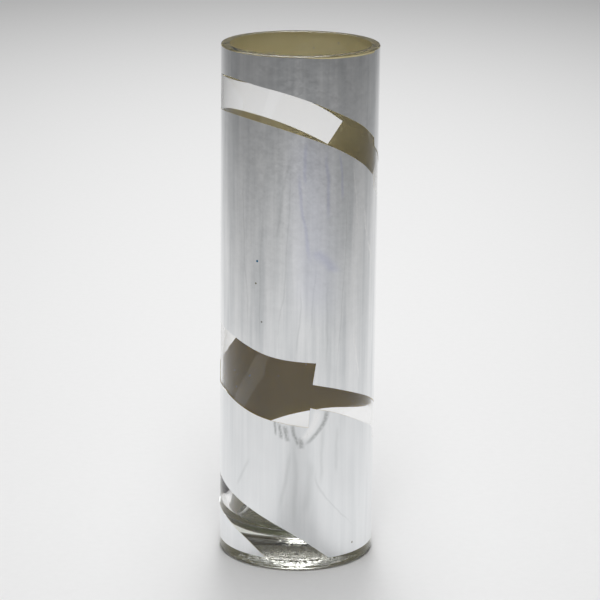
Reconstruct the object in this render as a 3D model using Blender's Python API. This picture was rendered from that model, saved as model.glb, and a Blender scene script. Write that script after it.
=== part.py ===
"""Clear glass cylinder vase: a thick-based glass body whose outside carries a khaki lacquer and, over it,
a mirror coat. Both coats stop at a bare ribbon that was masked by hand with tape and winds down the glass.

Units are metres, +Z is up, and the origin is the centre of the resting ring. Angles run round the glass
from the front (-Y), growing towards +X.
"""

import math

import bmesh
import bpy

MM = 0.001

# Glass: blown, so its wall is thick above the base and thin over most of its height, with a thick rim band
HEIGHT = 300.0 * MM
GLASS_RADIUS = 44.75 * MM
BASE_THICKNESS = 17.0 * MM
LOWER_WALL = 5.0 * MM
THIN_WALL = 1.3 * MM
THIN_WALL_BOTTOM = 66.0 * MM
THIN_WALL_TOP = 283.0 * MM
RIM_BAND_BOTTOM = 288.5 * MM
RIM_WALL = 4.8 * MM
RIM_ROUNDING = 0.5 * MM
BORE_CORNER_WIDTH = 14.0 * MM
BORE_CORNER_HEIGHT = 12.0 * MM
HEEL_RADIUS = 2.5 * MM
PUNT_RADIUS = 21.0 * MM
PUNT_DEPTH = 1.5 * MM

# Coats: films a few hundredths of a millimetre thick, drawn as thin shells with an air gap under each
COAT_THICKNESS = 0.15 * MM
COAT_GAP = 0.15 * MM
COAT_TOP = 299.2 * MM
COAT_BOTTOM = 7.0 * MM

# Every round piece has flat facets, with their corners at every multiple of COLUMN degrees
COLUMN = 5
SIDES = 360 // COLUMN
ARC_STEPS = 4
EASE_STEPS = 5
SHARP_ANGLE = math.radians(30)
MERGE_DISTANCE = 0.001 * MM

# The bare ribbon, unrolled: (angle in degrees, height in mm), the angle counted on through each turn.
# A run is one smooth edge of tape. Where a run ends and the next begins, the edge has a step: a cut end of
# tape, or two lengths of tape that don't quite meet. The ribbon starts at a cut end behind the vase, and
# runs off the lower edge of the coats.
UPPER_EDGE = (
    ((145.5, 249.0), (165, 256.3), (205, 269.5), (250, 280.5), (300, 284.5), (340, 281.0), (360, 277.0),
     (380, 270.8), (410, 259.3), (428.5, 249.8)),
    ((429.5, 244.8), (444, 237.3), (464, 222.3), (490, 204.5), (530, 178.0), (570, 154.0), (600, 143.5),
     (630, 140.0), (663, 136.3), (700, 128.3), (733.7, 125.0)),
    ((731.3, 112.5), (750, 108.7), (780, 100.0), (810, 89.0), (840, 79.5), (880, 72.0), (935, 61.0),
     (980, 49.0), (1005, 45.5), (1040, 36.5), (1070, 26.0), (1090, 16.3), (1105.5, COAT_BOTTOM / MM)),
)
LOWER_EDGE = (
    ((158, 234.3), (205, 249.5), (250, 260.0), (300, 264.2), (340, 260.8), (380, 250.5), (410, 238.0),
     (427.5, 228.3)),
    ((428, 221.5), (450, 207.0), (490, 179.5), (530, 154.5), (570, 133.0), (597, 120.5), (612, 116.2),
     (633, 114.5)),
    ((633, 102.2), (650, 101.3), (690, 92.2), (728.5, 87.0)),
    ((729.7, 98.7), (750, 94.3), (780, 83.5), (797, 77.0)),
    ((798, 70.5), (850, 58.0), (910, 46.5), (990, 28.0), (1020, 23.0), (1040, 16.3),
     (1058, COAT_BOTTOM / MM)),
)


def clear_scene():
    for obj in list(bpy.data.objects):
        bpy.data.objects.remove(obj, do_unlink=True)


def make_material(name, colour, roughness, metallic=0.0, transmission=0.0):
    material = bpy.data.materials.new(name)
    material.use_nodes = True
    shader = material.node_tree.nodes["Principled BSDF"]
    shader.inputs["Base Color"].default_value = (*colour, 1.0)
    shader.inputs["Roughness"].default_value = roughness
    shader.inputs["Metallic"].default_value = metallic
    shader.inputs["Transmission Weight"].default_value = transmission
    return material


def add_object(name, builder, material):
    """A new object from a bmesh, which is freed. Its faces point out, and it is smooth but for its corners."""
    bmesh.ops.recalc_face_normals(builder, faces=builder.faces)
    mesh = bpy.data.meshes.new(name)
    builder.to_mesh(mesh)
    builder.free()
    mesh.shade_smooth()
    mesh.set_sharp_from_angle(angle=SHARP_ANGLE)
    mesh.materials.append(material)
    obj = bpy.data.objects.new(name, mesh)
    bpy.context.scene.collection.objects.link(obj)


def arc(centre_radius, centre_height, width, height, start, end):
    """Points of a quarter of an ellipse in the (radius, height) plane, with its angles in degrees from +X."""
    points = []
    for step in range(ARC_STEPS + 1):
        angle = math.radians(start + (end - start) * step / ARC_STEPS)
        points.append((centre_radius + width * math.cos(angle), centre_height + height * math.sin(angle)))
    return points


def ease(start, end):
    """Points of a smooth change of radius between two heights, upright at both ends."""
    points = []
    for step in range(EASE_STEPS + 1):
        t = step / EASE_STEPS
        share = t * t * (3 - 2 * t)
        points.append((start[0] + (end[0] - start[0]) * share, start[1] + (end[1] - start[1]) * t))
    return points


def glass_profile():
    """Half section of the glass, from the middle of the bore's floor, over the rim, to under the base."""
    lower_bore = GLASS_RADIUS - LOWER_WALL
    bore = GLASS_RADIUS - THIN_WALL
    mouth = GLASS_RADIUS - RIM_WALL
    width = BORE_CORNER_WIDTH
    height = BORE_CORNER_HEIGHT
    corner_top = BASE_THICKNESS + height
    rounding = RIM_ROUNDING
    heel = HEEL_RADIUS
    profile = [(0.0, BASE_THICKNESS)]
    profile += arc(lower_bore - width, corner_top, width, height, -90, 0)
    profile += ease((lower_bore, corner_top), (bore, THIN_WALL_BOTTOM))
    profile += ease((bore, THIN_WALL_TOP), (mouth, RIM_BAND_BOTTOM))
    profile += arc(mouth + rounding, HEIGHT - rounding, rounding, rounding, 180, 90)
    profile += arc(GLASS_RADIUS - rounding, HEIGHT - rounding, rounding, rounding, 90, 0)
    profile += arc(GLASS_RADIUS - heel, heel, heel, heel, 0, -90)
    profile += [(PUNT_RADIUS, 0.0), (PUNT_RADIUS - 2 * PUNT_DEPTH, PUNT_DEPTH), (0.0, PUNT_DEPTH)]
    return profile


def make_glass_body(material):
    """The profile above, turned about Z."""
    builder = bmesh.new()
    points = [builder.verts.new((radius, 0.0, height)) for radius, height in glass_profile()]
    edges = [builder.edges.new(pair) for pair in zip(points, points[1:])]
    bmesh.ops.spin(
        builder,
        geom=points + edges,
        cent=(0.0, 0.0, 0.0),
        axis=(0.0, 0.0, 1.0),
        angle=math.tau,
        steps=SIDES,
        use_merge=True,
    )
    bmesh.ops.remove_doubles(builder, verts=builder.verts, dist=MERGE_DISTANCE)
    add_object("glass_body", builder, material)


def columns_between(start, end):
    """The angles of the facets' corners that lie between two angles."""
    return range((math.floor(start / COLUMN) + 1) * COLUMN, math.ceil(end), COLUMN)


def smooth_run(knots):
    """Points of one smooth edge of tape: its two ends, and one at every facet corner between them.

    The edge is a cubic through the knots. Its slope at a knot is that of the chord from the knot before to
    the knot after.
    """
    def slope(index):
        before = knots[max(index - 1, 0)]
        after = knots[min(index + 1, len(knots) - 1)]
        return (after[1] - before[1]) / (after[0] - before[0])

    def height_at(angle):
        index = max(i for i, knot in enumerate(knots[:-1]) if knot[0] <= angle)
        start = knots[index]
        end = knots[index + 1]
        span = end[0] - start[0]
        t = (angle - start[0]) / span
        return (
            (1 + 2 * t) * (1 - t) ** 2 * start[1]
            + t * (1 - t) ** 2 * span * slope(index)
            + t * t * (3 - 2 * t) * end[1]
            - t * t * (1 - t) * span * slope(index + 1)
        )

    middle = [(angle, height_at(angle)) for angle in columns_between(knots[0][0], knots[-1][0])]
    return [knots[0], *middle, knots[-1]]


def edge_points(runs):
    return [point for run in runs for point in smooth_run(run)]


def coat_outline():
    """The coat unrolled as one sheet: the collar above the ribbon, then the strip between its turns.

    The sheet is cut from the top edge down to the ribbon's first corner, and it is one turn wide there,
    so the two sides of that cut are the same line on the glass.
    """
    upper = edge_points(UPPER_EDGE)
    lower = [(angle + 360, height) for angle, height in edge_points(LOWER_EDGE)]
    cut_angle, cut_height = upper[0]
    top = COAT_TOP / MM
    return [(cut_angle, top), *upper, *reversed(lower), (cut_angle + 360, cut_height), (cut_angle + 360, top)]


def make_coat(name, inner_radius, material):
    """A shell of the coat's outline, wrapped round the glass with its inner face at inner_radius."""
    builder = bmesh.new()
    outline = coat_outline()
    builder.faces.new([builder.verts.new((angle, height, 0.0)) for angle, height in outline])
    angles = [angle for angle, _ in outline]
    for column in columns_between(min(angles), max(angles)):
        bmesh.ops.bisect_plane(
            builder,
            geom=builder.verts[:] + builder.edges[:] + builder.faces[:],
            dist=1e-4,
            plane_co=(column, 0.0, 0.0),
            plane_no=(1.0, 0.0, 0.0),
        )
    for vert in builder.verts:
        angle = math.radians(vert.co.x)
        vert.co = (inner_radius * math.sin(angle), -inner_radius * math.cos(angle), vert.co.y * MM)
    bmesh.ops.remove_doubles(builder, verts=builder.verts, dist=MERGE_DISTANCE)
    outer = bmesh.ops.extrude_face_region(builder, geom=builder.faces[:], use_keep_orig=True)
    scale = (inner_radius + COAT_THICKNESS) / inner_radius
    for element in outer["geom"]:
        if isinstance(element, bmesh.types.BMVert):
            element.co.x *= scale
            element.co.y *= scale
    add_object(name, builder, material)


def main():
    clear_scene()
    glass = make_material("clear_glass", (0.93, 0.96, 0.92), 0.02, transmission=1.0)
    khaki = make_material("khaki_lacquer", (0.25, 0.22, 0.12), 0.6)
    silver = make_material("mirror_silver", (0.82, 0.83, 0.85), 0.06, metallic=1.0)
    make_glass_body(glass)
    base_coat_radius = GLASS_RADIUS + COAT_GAP
    mirror_coat_radius = base_coat_radius + COAT_THICKNESS + COAT_GAP
    make_coat("base_coat", base_coat_radius, khaki)
    make_coat("mirror_coat", mirror_coat_radius, silver)


main()
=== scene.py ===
"""The looks of the glass cylinder vase: clear glass, silvered over khaki lacquer, with a bare spiral ribbon.

Units are metres unless a name says otherwise, +Z is up, and the vase stands on z = 0 with its axis on Z.
Angles on the vase are in degrees from its front (-Y), growing towards +X, as in part.py.
"""

import math

import bmesh
import bpy
from mathutils import Matrix, Vector


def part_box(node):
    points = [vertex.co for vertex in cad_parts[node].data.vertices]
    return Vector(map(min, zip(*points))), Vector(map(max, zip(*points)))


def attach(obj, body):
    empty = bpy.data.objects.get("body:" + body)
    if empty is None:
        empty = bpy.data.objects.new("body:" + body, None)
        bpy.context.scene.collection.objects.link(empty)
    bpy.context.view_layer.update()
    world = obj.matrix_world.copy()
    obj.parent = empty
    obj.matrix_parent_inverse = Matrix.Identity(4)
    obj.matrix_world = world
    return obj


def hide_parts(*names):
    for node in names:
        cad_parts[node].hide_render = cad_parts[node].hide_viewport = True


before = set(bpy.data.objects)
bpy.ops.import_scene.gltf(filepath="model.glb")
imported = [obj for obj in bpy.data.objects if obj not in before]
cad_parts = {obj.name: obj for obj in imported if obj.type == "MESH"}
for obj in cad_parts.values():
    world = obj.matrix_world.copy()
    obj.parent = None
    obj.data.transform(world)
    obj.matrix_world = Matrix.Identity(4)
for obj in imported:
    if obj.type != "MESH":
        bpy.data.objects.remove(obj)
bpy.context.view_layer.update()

MM = 0.001

# The glass and the coats' ends, from the frame, and the glass's half section, as in part.py
GLASS_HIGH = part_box("glass_body")[1]
COAT_LOW, COAT_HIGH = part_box("base_coat")
HEIGHT = GLASS_HIGH.z
GLASS_RADIUS = GLASS_HIGH.x
BASE_THICKNESS = 17.0 * MM
LOWER_WALL = 5.0 * MM
THIN_WALL = 1.3 * MM
THIN_WALL_BOTTOM = 66.0 * MM
THIN_WALL_TOP = 283.0 * MM
RIM_BAND_BOTTOM = 288.5 * MM
RIM_WALL = 4.8 * MM
RIM_ROUNDING = 0.5 * MM
BORE_CORNER_WIDTH = 14.0 * MM
BORE_CORNER_HEIGHT = 12.0 * MM
HEEL_RADIUS = 2.5 * MM
PUNT_RADIUS = 21.0 * MM
PUNT_DEPTH = 1.5 * MM
GLASS_SIDES = 240
ARC_STEPS = 10
EASE_STEPS = 20
SHARP_ANGLE = math.radians(30)
MERGE_DISTANCE = 0.001 * MM

# The look of the glass. Its underside is an uneven ring round a hollow with the pitted skin of the mould.
GLASS_IOR = 1.52
GLASS_SPECULAR = 0.1
GLASS_TINT = (0.70, 0.73, 0.50)
GLASS_TINT_DENSITY = 3.5
GLASS_WAVES = 0.12 * MM
RING_ROUGHNESS = 0.03
SKIN_ROUGHNESS = (0.05, 0.4)
SKIN_EDGE_MM = 5.0
SKIN_RELIEF = 0.8 * MM

# The coats: the lacquer is bonded to the glass, so its inner face lies just inside the glass's skin. Faces
# of a coat that face within LEAST_FACING, a cosine, of straight out or in are shaded as a true cylinder.
LACQUER_INNER_RADIUS = GLASS_RADIUS - 0.02 * MM
LACQUER_OUTER_RADIUS = GLASS_RADIUS + 0.06 * MM
SILVER_INNER_RADIUS = GLASS_RADIUS + 0.09 * MM
SILVER_OUTER_RADIUS = GLASS_RADIUS + 0.16 * MM
COLUMN_DEGREES = 2
CUT_TOLERANCE = 1e-4
LEAST_FACING = 0.9

# How far in mm the lacquer shows past the silver along the ribbon, and where the silver's top edge dips and
# shows it too: the corners of the dips, right to left, as (angle in degrees, depth in mm)
LACQUER_LIP = 0.05
SILVER_DIPS = ((426.5, 0.0), (425.5, 1.0), (380.0, 0.7), (362.0, 0.0))

# The look of the lacquer: deep in colour, with painted light making it paler higher up, towards the mouth
# where the light falls in, and pale at the foot. Its two main colours run from a darker to a paler tone.
# Heights are in mm, where a change begins and where it is full.
LACQUER_DEEP = ((0.66, 0.46, 0.04), (0.74, 0.53, 0.06))
LACQUER_PAINTED_LIGHT = ((0.76, 0.67, 0.38), (0.81, 0.72, 0.43))
LACQUER_FOOT = (0.86, 0.80, 0.52)
LACQUER_DUST = (0.66, 0.60, 0.45)
LACQUER_PAINTED_LIGHT_HEIGHTS = (150.0, 250.0)
LACQUER_FOOT_HEIGHTS = (45.0, 25.0)
LACQUER_ROUGHNESS = (0.55, 0.7)
LACQUER_SPECULAR = 0.25
LACQUER_GRAIN = 0.05 * MM

# The look of the silver: streaked from a darker to a paler tone, with less contrast below the second of
# CALM_HEIGHTS in mm, and least below the first. The streaks are partly the silver's own uneven tone and
# partly painted reflection, strongest high up. Its surface has long swells and short ripples. The paths
# of its marks wander.
SILVER_TONES = ((0.68, 0.70, 0.715), (0.99, 0.995, 1.0))
CALM_HEIGHTS = (60.0, 140.0)
CALM_CONTRAST = 0.4
CALM_TONE = 0.45
SILVER_ROUGHNESS = (0.04, 0.09)
SMEAR_ROUGHNESS = 0.2
SILVER_SWELL = 0.3 * MM
SILVER_RIPPLE = 0.05 * MM
WANDER_DEGREES = 7.0
WANDER_MM = 8.0
SMUDGE_COLOUR = (0.45, 0.46, 0.46)
WHITE = (1.0, 1.0, 1.0)

# The bare ribbon, unrolled, as in part.py: (angle in degrees, height in mm), with the angle counted on
# through each turn
UPPER_EDGE = (
    ((145.5, 249.0), (165, 256.3), (205, 269.5), (250, 280.5), (300, 284.5), (340, 281.0), (360, 277.0),
     (380, 270.8), (410, 259.3), (428.5, 249.8)),
    ((429.5, 244.8), (444, 237.3), (464, 222.3), (490, 204.5), (530, 178.0), (570, 154.0), (600, 143.5),
     (630, 140.0), (663, 136.3), (700, 128.3), (733.7, 125.0)),
    ((731.3, 112.5), (750, 108.7), (780, 100.0), (810, 89.0), (840, 79.5), (880, 72.0), (935, 61.0),
     (980, 49.0), (1005, 45.5), (1040, 36.5), (1070, 26.0), (1090, 16.3), (1105.5, COAT_LOW.z / MM)),
)
LOWER_EDGE = (
    ((158, 234.3), (205, 249.5), (250, 260.0), (300, 264.2), (340, 260.8), (380, 250.5), (410, 238.0),
     (427.5, 228.3)),
    ((428, 221.5), (450, 207.0), (490, 179.5), (530, 154.5), (570, 133.0), (597, 120.5), (612, 116.2),
     (633, 114.5)),
    ((633, 102.2), (650, 101.3), (690, 92.2), (728.5, 87.0)),
    ((729.7, 98.7), (750, 94.3), (780, 83.5), (797, 77.0)),
    ((798, 70.5), (850, 58.0), (910, 46.5), (990, 28.0), (1020, 23.0), (1040, 16.3),
     (1058, COAT_LOW.z / MM)),
)

# Marks on the silver: (angle, height in mm) of the top, the same of the foot, bow and half width in degrees
# Veins: dark lines, partly the silver's own and partly painted reflections of lines on the floor
VEINS_AND_REFLECTIONS = (
    ((-44, 240), (-37, 134), -1.5, 1.0),
    ((-6, 252), (-15, 134), 2.0, 1.0),
    ((-4, 250), (-17, 190), -2.0, 1.8),
    ((37, 240), (28, 108), 2.5, 0.7),
    ((13, 184), (8, 140), 0.5, 1.0),
    ((-26, 215), (-29, 132), -1.0, 1.4),
    ((2, 172), (-2, 126), 1.0, 1.0),
    ((22, 176), (20, 118), 1.0, 1.6),
    ((-4, 76), (-13, 34), 0.0, 2.6),
    ((-2, 84), (-1, 22), 0.5, 3.0),
    ((13, 64), (52, 22), -9.0, 1.6),
    ((18, 90), (19, 50), 0.0, 2.4),
    ((29, 88), (31, 56), 1.0, 2.4),
    ((-35, 68), (-50, 46), 0.0, 2.4),
    ((9, 70), (7, 34), 2.0, 4.5),
)
# Pale smears: rougher rubbed patches, with painted bright reflections in their white
PALE_SMEARS_AND_REFLECTIONS = (
    ((15, 99), (3, 78), 3.0, 4.5),
    ((41, 240), (49, 194), 0.8, 0.9),
    ((54, 214), (59, 192), 0.5, 1.3),
    ((60, 192), (66, 178), 0.5, 2.0),
    ((45, 146), (53, 110), -1.0, 1.0),
)
# A broad lilac cast: partly the silver's own tint, partly a painted reflection of its surroundings
LILAC_CAST_AND_REFLECTION = (
    ((6, 275), (14, 140), 0.0, 26.0),
)
# Lilac smears: partly the silver's own tint, partly painted reflection
LILAC_SMEARS_AND_REFLECTIONS = (
    ((0, 240), (11, 180), -2.5, 2.2),
    ((12, 192), (30, 176), -2.0, 8.0),
    ((5, 254), (4, 226), 0.0, 2.2),
    ((20, 250), (22, 206), 0.0, 2.2),
    ((30, 248), (33, 216), 0.0, 1.6),
)
SMUDGES = (
    ((-16, 92), (-15.5, 81), 0.0, 1.6),
    ((-13, 91), (-11, 79), 0.3, 2.6),
    ((-8.5, 90), (-6, 78), 0.0, 3.2),
    ((-4, 90), (1.5, 75), 0.3, 2.2),
    ((3, 82), (4, 74), 0.0, 3.6),
    ((22, 99), (5, 76), 5.0, 3.2),
)

# The even marks: (marks, colour, strength)
EVEN_MARKS = (
    (VEINS_AND_REFLECTIONS, (0.50, 0.52, 0.52), 0.25),
    (LILAC_CAST_AND_REFLECTION, (0.74, 0.76, 0.88), 0.4),
    (LILAC_SMEARS_AND_REFLECTIONS, (0.66, 0.68, 0.82), 0.6),
)

# Specks on the coat: (angle, height, radius in mm, colour)
SPECKS = (
    (-31.0, 183.0, 0.8, (0.02, 0.16, 0.30)),
    (-32.0, 170.0, 0.6, (0.16, 0.14, 0.05)),
    (-27.0, 148.0, 0.6, (0.20, 0.20, 0.18)),
    (-38.0, 24.0, 0.6, (0.22, 0.21, 0.20)),
    (47.0, 13.0, 0.7, (0.22, 0.20, 0.14)),
)

# The floor lies a hair below the vase, so that no light passes straight from the glass into it
FLOOR_PLACE = Vector((0.0, 0.0, -0.1 * MM))
FLOOR_REACH = 6.0
FLOOR_TONES = ((0.80, 0.80, 0.80), (0.83, 0.83, 0.83))
FLOOR_ROUGHNESS = 0.9
FLOOR_SPECULAR = 0.1

# The softbox faces straight down, and its length runs along Y. The world's light is even.
WORLD_STRENGTH = 0.16
SOFTBOX_PLACE = (0.0, 0.55, 1.1)
SOFTBOX_WIDTH = 0.3
SOFTBOX_LENGTH = 3.0
SOFTBOX_POWER = 21.5

# Camera
CAMERA_PLACE = Vector((0.0, -1.41518, 0.538896))
CAMERA_PITCH = math.radians(15.363)
CAMERA_YAW = math.radians(0.047)
CAMERA_ROLL = math.radians(0.628)
SENSOR_MM = 36.0
LENS_MM = 152.23
CLIP_START = 0.01


# ---------------------------------------------------------------------------------------------------------
# Node helpers


class Field:
    """A number that nodes work out at each point of a surface. It takes part in sums as a number does."""

    def __init__(self, tree, socket):
        self.tree = tree
        self.socket = socket

    def math(self, operation, *others, clamp=False):
        node = self.tree.nodes.new("ShaderNodeMath")
        node.operation = operation
        node.use_clamp = clamp
        for slot, value in zip(node.inputs, (self, *others)):
            if isinstance(value, Field):
                self.tree.links.new(value.socket, slot)
            else:
                slot.default_value = value
        return Field(self.tree, node.outputs[0])

    def __add__(self, other):
        return self.math("ADD", other)

    def __sub__(self, other):
        return self.math("SUBTRACT", other)

    def __mul__(self, other):
        return self.math("MULTIPLY", other)

    def __truediv__(self, other):
        return self.math("DIVIDE", other)

    def __rsub__(self, other):
        return (self * -1.0) + other

    def from_to(self, low, high, start, end, interpolation):
        """From start at low to end at high, and level beyond them."""
        node = self.tree.nodes.new("ShaderNodeMapRange")
        node.interpolation_type = interpolation
        self.tree.links.new(self.socket, node.inputs["Value"])
        node.inputs["From Min"].default_value = low
        node.inputs["From Max"].default_value = high
        node.inputs["To Min"].default_value = start
        node.inputs["To Max"].default_value = end
        return Field(self.tree, node.outputs["Result"])

    def ramp(self, low, high, start=0.0, end=1.0):
        """As from_to, with a smooth start and end. Low may be above high."""
        return self.from_to(low, high, start, end, "SMOOTHSTEP")

    def line(self, low, high, start=0.0, end=1.0):
        """As from_to, in a straight line. Low may be above high."""
        return self.from_to(low, high, start, end, "LINEAR")


def new_material(name):
    """A material with one Principled shader: (material, tree, shader)."""
    material = bpy.data.materials.new(name)
    material.use_nodes = True
    tree = material.node_tree
    return material, tree, tree.nodes["Principled BSDF"]


def place(tree):
    """Where a point of the object is: its X, Y and Z in mm."""
    coordinates = tree.nodes.new("ShaderNodeTexCoord")
    parts = tree.nodes.new("ShaderNodeSeparateXYZ")
    tree.links.new(coordinates.outputs["Object"], parts.inputs[0])
    return [Field(tree, parts.outputs[axis]) / MM for axis in "XYZ"]


def noise(tree, point, across, along, detail=2.0, roughness=0.5):
    """Smooth noise, about 0 to 1, with so many cells in a mm across the vase, and so many along its axis."""
    x, y, z = point
    joined = tree.nodes.new("ShaderNodeCombineXYZ")
    for slot, value in zip(joined.inputs, (x * across, y * across, z * along)):
        tree.links.new(value.socket, slot)
    node = tree.nodes.new("ShaderNodeTexNoise")
    tree.links.new(joined.outputs[0], node.inputs["Vector"])
    node.inputs["Scale"].default_value = 1.0
    node.inputs["Detail"].default_value = detail
    node.inputs["Roughness"].default_value = roughness
    return Field(tree, node.outputs["Fac"])


def mix(tree, factor, first, second):
    """A colour between first and second, each an RGB tuple or a socket."""
    node = tree.nodes.new("ShaderNodeMix")
    node.data_type = "RGBA"
    slots = {slot.identifier: slot for slot in node.inputs}
    for slot, value in ((slots["A_Color"], first), (slots["B_Color"], second)):
        if isinstance(value, tuple):
            slot.default_value = (*value, 1.0)
        else:
            tree.links.new(value, slot)
    tree.links.new(factor.socket, slots["Factor_Float"])
    return next(slot for slot in node.outputs if slot.identifier == "Result_Color")


def bump(tree, height, distance, under=None):
    """A normal from a height field in units of distance, over another normal if there is one."""
    node = tree.nodes.new("ShaderNodeBump")
    node.inputs["Strength"].default_value = 1.0
    node.inputs["Distance"].default_value = distance
    tree.links.new(height.socket, node.inputs["Height"])
    if under is not None:
        tree.links.new(under, node.inputs["Normal"])
    return node.outputs["Normal"]


# ---------------------------------------------------------------------------------------------------------
# Materials


def glass_material(name):
    """Clear glass with a faint green-grey tint inside: (material, tree, shader)."""
    material, tree, shader = new_material(name)
    shader.inputs["Base Color"].default_value = (*WHITE, 1.0)
    shader.inputs["Roughness"].default_value = 0.0
    shader.inputs["IOR"].default_value = GLASS_IOR
    shader.inputs["Specular IOR Level"].default_value = GLASS_SPECULAR
    shader.inputs["Transmission Weight"].default_value = 1.0
    tint = tree.nodes.new("ShaderNodeVolumeAbsorption")
    tint.inputs["Color"].default_value = (*GLASS_TINT, 1.0)
    tint.inputs["Density"].default_value = GLASS_TINT_DENSITY
    tree.links.new(tint.outputs[0], tree.nodes["Material Output"].inputs["Volume"])
    return material, tree, shader


def blown_glass_material():
    """The polished glass, with the slight waves of a blown wall."""
    material, tree, shader = glass_material("vase_glass")
    waves = noise(tree, place(tree), 0.06, 0.025, detail=1.0)
    tree.links.new(bump(tree, waves, GLASS_WAVES), shader.inputs["Normal"])
    return material


def underside_material():
    """The underside of the base: an uneven ring, and the rough skin of the mould inside it."""
    material, tree, shader = glass_material("moulded_underside")
    point = place(tree)
    x, y, _ = point
    hollow = PUNT_RADIUS / MM
    skin = (x * x + y * y).math("SQRT").ramp(hollow, hollow - SKIN_EDGE_MM)
    dents = noise(tree, point, 0.25, 0.25)
    pits = noise(tree, point, 0.7, 0.7, detail=3.0, roughness=0.6)
    roughness = pits.ramp(0.35, 0.65, *SKIN_ROUGHNESS) * skin + RING_ROUGHNESS
    tree.links.new(roughness.socket, shader.inputs["Roughness"])
    tree.links.new(bump(tree, pits * skin + dents * 0.6, SKIN_RELIEF), shader.inputs["Normal"])
    return material


def lacquer_material():
    """Matt and finely grained, cloudy in tone, with a painted lightening towards the rim, paler at the foot,
    and a little dust.
    """
    material, tree, shader = new_material("khaki_lacquer")
    point = place(tree)
    height = point[2]
    cloud = noise(tree, point, 0.05, 0.03, detail=4.0)
    grain = noise(tree, point, 1.5, 1.5)
    tone = cloud.ramp(0.3, 0.7) * 0.6 + grain * 0.4
    deep = mix(tree, tone, *LACQUER_DEEP)
    painted_light = mix(tree, tone, *LACQUER_PAINTED_LIGHT)
    # Painted light: higher up, the lacquer is made paler, as if lit by the light that falls in at the mouth
    colour = mix(tree, height.ramp(*LACQUER_PAINTED_LIGHT_HEIGHTS), deep, painted_light)
    colour = mix(tree, height.ramp(*LACQUER_FOOT_HEIGHTS), colour, LACQUER_FOOT)
    dust = noise(tree, point, 0.45, 0.45, detail=0.0)
    colour = mix(tree, dust.ramp(0.81, 0.84), colour, LACQUER_DUST)
    tree.links.new(colour, shader.inputs["Base Color"])
    tree.links.new(grain.ramp(0.2, 0.8, *LACQUER_ROUGHNESS).socket, shader.inputs["Roughness"])
    shader.inputs["Specular IOR Level"].default_value = LACQUER_SPECULAR
    tree.links.new(bump(tree, grain, LACQUER_GRAIN), shader.inputs["Normal"])
    return material


def strokes(angle, height, marks):
    """Where the marks lie on the coat, 0 to 1. Each is a bowed line that fades out at its top and foot."""
    total = None
    for (top_angle, top_height), (foot_angle, foot_height), bow, width in marks:
        along = height.line(top_height, foot_height)
        straight = height.line(top_height, foot_height, top_angle, foot_angle)
        middle = straight + along * (1.0 - along) * (4.0 * bow)
        mark = (angle - middle).math("ABSOLUTE").ramp(width, 0.0)
        mark = mark * along.ramp(0.0, 0.25) * along.ramp(1.0, 0.75)
        total = mark if total is None else total.math("MAXIMUM", mark)
    return total


def specks(tree, angle, height, colour):
    """The colour with the specks over it."""
    for speck_angle, speck_height, radius, tone in SPECKS:
        across = (angle - speck_angle) * math.radians(GLASS_RADIUS / MM)
        up = height - speck_height
        inside = (across * across + up * up).ramp(radius * radius, 0.0)
        colour = mix(tree, inside.math("MULTIPLY", 2.0, clamp=True), colour, tone)
    return colour


def silver_tone_and_reflection(tree, point, grit):
    """The silver's tone, 0 to 1: streaked along the vase, partly as painted reflection, clouded and gritty,
    and calmer low down.
    """
    # Painted reflection: the long streaks, strongest high up, are partly reflections painted into the colour
    streaks_and_reflection = noise(tree, point, 0.14, 0.008, detail=5.0)
    runs = noise(tree, point, 0.5, 0.015, detail=3.0)
    cloud = noise(tree, point, 0.04, 0.03, detail=5.0, roughness=0.6)
    tone = streaks_and_reflection.ramp(0.35, 0.65) * 0.45 + runs.ramp(0.3, 0.7) * 0.2
    tone = tone + cloud.ramp(0.3, 0.7) * 0.2 + grit * 0.15
    contrast = point[2].ramp(*CALM_HEIGHTS, CALM_CONTRAST, 1.0)
    return (tone - 0.5) * contrast + point[2].ramp(*CALM_HEIGHTS, CALM_TONE, 0.5)


def silver_material():
    """The mirror coat: bright, wavy, and marked by veins, smears and wiped patches, with painted reflections
    in its streaks, veins, pale smears and lilac tints.
    """
    material, tree, shader = new_material("aged_silver_and_reflections")
    shader.inputs["Metallic"].default_value = 1.0
    point = place(tree)
    x, y, z = point
    true_angle = x.math("ARCTAN2", y * -1.0) * math.degrees(1.0)
    drift = noise(tree, point, 0.05, 0.04, detail=3.0) - 0.5
    angle = true_angle + drift * WANDER_DEGREES
    height = z + drift * WANDER_MM
    grit = noise(tree, point, 1.2, 1.2, detail=3.0)
    colour = mix(tree, silver_tone_and_reflection(tree, point, grit), *SILVER_TONES)
    # Painted reflection: the veins and the lilac marks are partly reflections painted into the colour
    for marks, tone, strength in EVEN_MARKS:
        colour = mix(tree, strokes(angle, height, marks) * strength, colour, tone)
    colour = mix(tree, strokes(angle, height, SMUDGES) * grit.ramp(0.25, 0.55), colour, SMUDGE_COLOUR)
    # Painted reflection: the pale smears are painted white as bright reflections, and made rougher as rubbed
    # patches
    smears_and_reflections = strokes(angle, height, PALE_SMEARS_AND_REFLECTIONS)
    colour = mix(tree, smears_and_reflections, colour, WHITE)
    colour = specks(tree, true_angle, z, colour)
    tree.links.new(colour, shader.inputs["Base Color"])
    roughness = grit.ramp(0.3, 0.8, *SILVER_ROUGHNESS) + smears_and_reflections * SMEAR_ROUGHNESS
    tree.links.new(roughness.socket, shader.inputs["Roughness"])
    swell = noise(tree, point, 0.09, 0.02)
    ripple = noise(tree, point, 0.3, 0.2)
    wavy = bump(tree, swell, SILVER_SWELL)
    tree.links.new(bump(tree, ripple, SILVER_RIPPLE, under=wavy), shader.inputs["Normal"])
    return material


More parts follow.
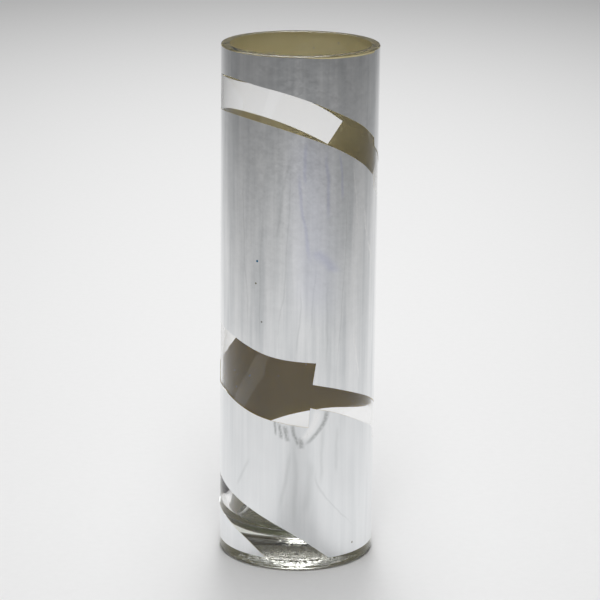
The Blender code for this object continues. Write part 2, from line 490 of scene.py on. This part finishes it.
def floor_material():
    """Plain and pale, with a faint speckle."""
    material, tree, shader = new_material("pale_floor")
    speckle = noise(tree, place(tree), 0.2, 0.2, detail=3.0)
    tree.links.new(mix(tree, speckle, *FLOOR_TONES), shader.inputs["Base Color"])
    shader.inputs["Roughness"].default_value = FLOOR_ROUGHNESS
    shader.inputs["Specular IOR Level"].default_value = FLOOR_SPECULAR
    return material


# ---------------------------------------------------------------------------------------------------------
# Shapes


def add_object(name, builder, material):
    """A new smooth-shaded object from a bmesh, which is freed."""
    mesh = bpy.data.meshes.new(name)
    builder.to_mesh(mesh)
    builder.free()
    mesh.shade_smooth()
    mesh.materials.append(material)
    obj = bpy.data.objects.new(name, mesh)
    bpy.context.scene.collection.objects.link(obj)
    return obj


def as_piece(obj, node):
    """The object stands for a CAD node: it hangs under the root body, and the node's own mesh is hidden."""
    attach(obj, "root")
    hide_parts(node)


def arc(centre_radius, centre_height, width, height, start, end):
    """Points of a quarter of an ellipse in the (radius, height) plane. Angles are in degrees from +X."""
    points = []
    for step in range(ARC_STEPS + 1):
        angle = math.radians(start + (end - start) * step / ARC_STEPS)
        points.append((centre_radius + width * math.cos(angle), centre_height + height * math.sin(angle)))
    return points


def ease(start, end):
    """Points of a smooth change of radius between two heights, upright at both ends."""
    points = []
    for step in range(EASE_STEPS + 1):
        t = step / EASE_STEPS
        share = t * t * (3 - 2 * t)
        points.append((start[0] + (end[0] - start[0]) * share, start[1] + (end[1] - start[1]) * t))
    return points


def glass_profile():
    """Half section of the glass, from the middle of the bore's floor, over the rim, to under the base."""
    lower_bore = GLASS_RADIUS - LOWER_WALL
    bore = GLASS_RADIUS - THIN_WALL
    mouth = GLASS_RADIUS - RIM_WALL
    width = BORE_CORNER_WIDTH
    height = BORE_CORNER_HEIGHT
    corner_top = BASE_THICKNESS + height
    rounding = RIM_ROUNDING
    heel = HEEL_RADIUS
    profile = [(0.0, BASE_THICKNESS)]
    profile += arc(lower_bore - width, corner_top, width, height, -90, 0)
    profile += ease((lower_bore, corner_top), (bore, THIN_WALL_BOTTOM))
    profile += ease((bore, THIN_WALL_TOP), (mouth, RIM_BAND_BOTTOM))
    profile += arc(mouth + rounding, HEIGHT - rounding, rounding, rounding, 180, 90)
    profile += arc(GLASS_RADIUS - rounding, HEIGHT - rounding, rounding, rounding, 90, 0)
    profile += arc(GLASS_RADIUS - heel, heel, heel, heel, 0, -90)
    profile += [(PUNT_RADIUS, 0.0), (PUNT_RADIUS - 2 * PUNT_DEPTH, PUNT_DEPTH), (0.0, PUNT_DEPTH)]
    return profile


def make_glass():
    """The profile above, turned about Z, with the underside's own material under the base."""
    builder = bmesh.new()
    points = [builder.verts.new((radius, 0.0, height)) for radius, height in glass_profile()]
    edges = [builder.edges.new(pair) for pair in zip(points, points[1:])]
    bmesh.ops.spin(
        builder,
        geom=points + edges,
        cent=(0.0, 0.0, 0.0),
        axis=(0.0, 0.0, 1.0),
        angle=math.tau,
        steps=GLASS_SIDES,
        use_merge=True,
    )
    bmesh.ops.remove_doubles(builder, verts=builder.verts, dist=MERGE_DISTANCE)
    bmesh.ops.recalc_face_normals(builder, faces=builder.faces)
    for face in builder.faces:
        middle = face.calc_center_median()
        if middle.z < BASE_THICKNESS / 2 and math.hypot(middle.x, middle.y) < GLASS_RADIUS - HEEL_RADIUS:
            face.material_index = 1
    glass = add_object("clear_glass_vase", builder, blown_glass_material())
    glass.data.materials.append(underside_material())
    glass.data.set_sharp_from_angle(angle=SHARP_ANGLE)
    as_piece(glass, "glass_body")


def smooth_run(knots, lift):
    """Points of one smooth edge of tape, raised by lift: its two ends, and one at every column between them.

    The edge is a cubic through the knots. Its slope at a knot is that of the chord from the knot before to
    the knot after.
    """
    def slope(index):
        before = knots[max(index - 1, 0)]
        after = knots[min(index + 1, len(knots) - 1)]
        return (after[1] - before[1]) / (after[0] - before[0])

    def height_at(angle):
        index = max(i for i, knot in enumerate(knots[:-1]) if knot[0] <= angle)
        start = knots[index]
        end = knots[index + 1]
        span = end[0] - start[0]
        t = (angle - start[0]) / span
        return (
            (1 + 2 * t) * (1 - t) ** 2 * start[1]
            + t * (1 - t) ** 2 * span * slope(index)
            + t * t * (3 - 2 * t) * end[1]
            - t * t * (1 - t) * span * slope(index + 1)
        )

    middle = [(angle, height_at(angle)) for angle in columns_between(knots[0][0], knots[-1][0])]
    return [(angle, height + lift) for angle, height in (knots[0], *middle, knots[-1])]


def columns_between(start, end):
    """The angles of the columns that lie between two angles."""
    first = (math.floor(start / COLUMN_DEGREES) + 1) * COLUMN_DEGREES
    return range(first, math.ceil(end), COLUMN_DEGREES)


def coat_outline(lip, dips):
    """A coat unrolled as one sheet: the collar above the ribbon, then the strip between its turns.

    Lip is how far, in mm, the coat reaches into the ribbon. Dips are the corners of places where its top
    edge falls short of the rim, right to left. The sheet is cut from the top edge down to the ribbon's first
    corner, and it is one turn wide there, so both sides of that cut are one line on the glass.
    """
    upper = [point for run in UPPER_EDGE for point in smooth_run(run, -lip)]
    lower = [(angle + 360, height) for run in LOWER_EDGE for angle, height in smooth_run(run, lip)]
    cut_angle, cut_height = upper[0]
    top = COAT_HIGH.z / MM
    far_side = [(cut_angle + 360, cut_height), (cut_angle + 360, top)]
    top_edge = [(angle, top - depth) for angle, depth in dips]
    return [(cut_angle, top), *upper, *reversed(lower), *far_side, *top_edge]


def make_coat(name, inner_radius, outer_radius, lip, dips, material):
    """A film of the coat's outline, wrapped round the glass, with normals that are truly radial."""
    builder = bmesh.new()
    outline = coat_outline(lip, dips)
    builder.faces.new([builder.verts.new((angle, height, 0.0)) for angle, height in outline])
    angles = [angle for angle, _ in outline]
    for column in columns_between(min(angles), max(angles)):
        bmesh.ops.bisect_plane(
            builder,
            geom=builder.verts[:] + builder.edges[:] + builder.faces[:],
            dist=CUT_TOLERANCE,
            plane_co=(column, 0.0, 0.0),
            plane_no=(1.0, 0.0, 0.0),
        )
    for vert in builder.verts:
        angle = math.radians(vert.co.x)
        vert.co = (inner_radius * math.sin(angle), -inner_radius * math.cos(angle), vert.co.y * MM)
    bmesh.ops.remove_doubles(builder, verts=builder.verts, dist=MERGE_DISTANCE)
    outer = bmesh.ops.extrude_face_region(builder, geom=builder.faces[:], use_keep_orig=True)
    scale = outer_radius / inner_radius
    for element in outer["geom"]:
        if isinstance(element, bmesh.types.BMVert):
            element.co.x *= scale
            element.co.y *= scale
    bmesh.ops.recalc_face_normals(builder, faces=builder.faces)
    coat = add_object(name, builder, material)
    set_radial_normals(coat.data)
    return coat


def set_radial_normals(mesh):
    """The faces that go round the vase are shaded as a true cylinder, and the film's edges as they are."""
    normals = []
    for face in mesh.polygons:
        for loop in face.loop_indices:
            co = mesh.vertices[mesh.loops[loop].vertex_index].co
            radial = Vector((co.x, co.y, 0.0)).normalized()
            facing = face.normal.dot(radial)
            if abs(facing) > LEAST_FACING:
                normals.append(radial * math.copysign(1.0, facing))
            else:
                normals.append(face.normal.copy())
    mesh.normals_split_custom_set(normals)


# ---------------------------------------------------------------------------------------------------------
# Surroundings


def make_floor():
    """A plain floor that reaches well past what the camera sees."""
    builder = bmesh.new()
    place_at = Matrix.Translation(FLOOR_PLACE)
    bmesh.ops.create_grid(builder, x_segments=4, y_segments=4, size=FLOOR_REACH, matrix=place_at)
    floor = add_object("floor", builder, floor_material())


def make_world():
    """A faint even light from all round."""
    world = bpy.data.worlds.new("studio")
    bpy.context.scene.world = world
    world.use_nodes = True
    background = world.node_tree.nodes["Background"]
    background.inputs["Color"].default_value = (*WHITE, 1.0)
    background.inputs["Strength"].default_value = WORLD_STRENGTH


def make_softbox():
    """The one lamp. Its light on the floor fades with distance, and the mirror coat shows that."""
    data = bpy.data.lights.new("overhead", "AREA")
    data.shape = "RECTANGLE"
    data.size = SOFTBOX_WIDTH
    data.size_y = SOFTBOX_LENGTH
    data.energy = SOFTBOX_POWER
    light = bpy.data.objects.new("overhead", data)
    light.location = SOFTBOX_PLACE
    bpy.context.scene.collection.objects.link(light)


def make_camera():
    """At the photograph's angle, a little rolled as its camera was."""
    data = bpy.data.cameras.new("camera")
    data.sensor_width = SENSOR_MM
    data.lens = LENS_MM
    data.clip_start = CLIP_START
    forward = Vector((
        math.sin(CAMERA_YAW) * math.cos(CAMERA_PITCH),
        math.cos(CAMERA_YAW) * math.cos(CAMERA_PITCH),
        -math.sin(CAMERA_PITCH),
    ))
    right = Vector((math.cos(CAMERA_YAW), -math.sin(CAMERA_YAW), 0.0))
    up = right.cross(forward)
    turned_right = right * math.cos(CAMERA_ROLL) + up * math.sin(CAMERA_ROLL)
    turned_up = up * math.cos(CAMERA_ROLL) - right * math.sin(CAMERA_ROLL)
    rotation = Matrix((turned_right, turned_up, -forward)).transposed()
    camera = bpy.data.objects.new("camera", data)
    camera.matrix_world = Matrix.Translation(CAMERA_PLACE) @ rotation.to_4x4()
    bpy.context.scene.collection.objects.link(camera)
    bpy.context.scene.camera = camera


def main():
    make_camera()
    make_world()
    make_softbox()
    make_floor()
    make_glass()
    lacquer = make_coat(
        "lacquer_film", LACQUER_INNER_RADIUS, LACQUER_OUTER_RADIUS, LACQUER_LIP, (), lacquer_material())
    as_piece(lacquer, "base_coat")
    silver = make_coat(
        "silver_film", SILVER_INNER_RADIUS, SILVER_OUTER_RADIUS, 0.0, SILVER_DIPS, silver_material())
    as_piece(silver, "mirror_coat")
    bpy.context.scene.view_settings.view_transform = "Standard"


main()
